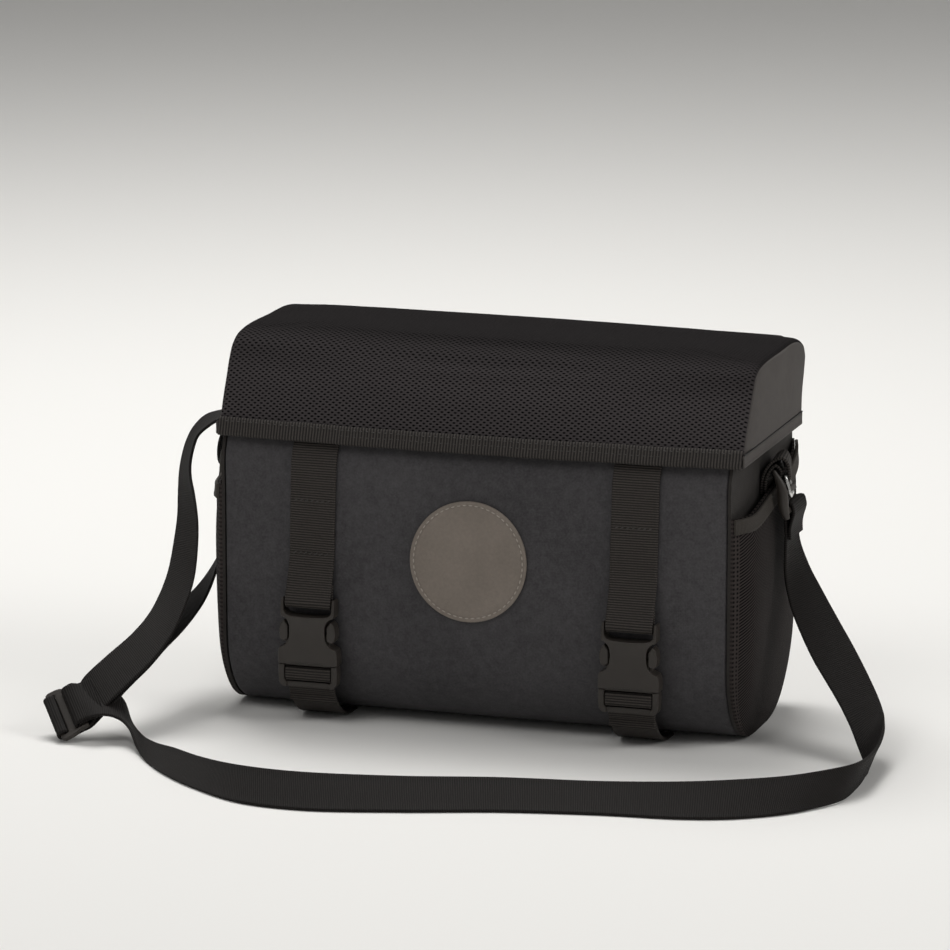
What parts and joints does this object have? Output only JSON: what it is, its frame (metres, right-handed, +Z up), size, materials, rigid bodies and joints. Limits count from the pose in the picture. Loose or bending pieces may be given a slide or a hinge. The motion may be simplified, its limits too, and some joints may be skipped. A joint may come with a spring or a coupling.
{
  "type": "bicycle handlebar bag",
  "caption": "Boxy handlebar bag with a padded mesh lid, buckled front straps, stretch side pockets, a round leather patch and a shoulder strap lying loose in front.",
  "frame": {"origin": "middle of the bag's flat underside, in its width and depth, on the surface it stands on", "axes": "+X to the bag's right as seen from its front, +Y from the front to the back, +Z up"},
  "size_m": [0.4333, 0.2987, 0.2017],
  "materials": {
    "cloth": "waxed charcoal cloth, matt",
    "side_cloth": "matt grey-black cloth",
    "mesh": "black spacer mesh",
    "stretch": "ribbed stretch mesh",
    "webbing": "ribbed black webbing",
    "plastic": "moulded black plastic",
    "wire": "bright wire",
    "leather": "taupe leather, bare"
  },
  "bodies": {
    "root": {"body_wrap": "cloth", "side_panel_left": "side_cloth", "side_panel_right": "side_cloth", "pocket_left": "stretch", "pocket_right": "stretch", "pocket_band_left": "webbing", "pocket_band_right": "webbing", "lid_panel": "mesh", "lid_side_left": "side_cloth", "lid_side_right": "side_cloth", "lid_binding": "webbing", "lid_piping": "webbing", "front_strap_left": "webbing", "front_strap_right": "webbing", "buckle_socket_left": "plastic", "buckle_socket_right": "plastic", "buckle_frame_left": "plastic", "buckle_frame_right": "plastic", "lower_strap_left": "webbing", "lower_strap_right": "webbing", "patch": "leather", "side_loop_left": "webbing", "side_loop_right": "webbing", "ring_left": "wire", "ring_right": "wire", "hook_left": "plastic", "hook_right": "plastic", "shoulder_strap": "webbing", "tri_glide": "plastic"}
  },
  "joints": []
}
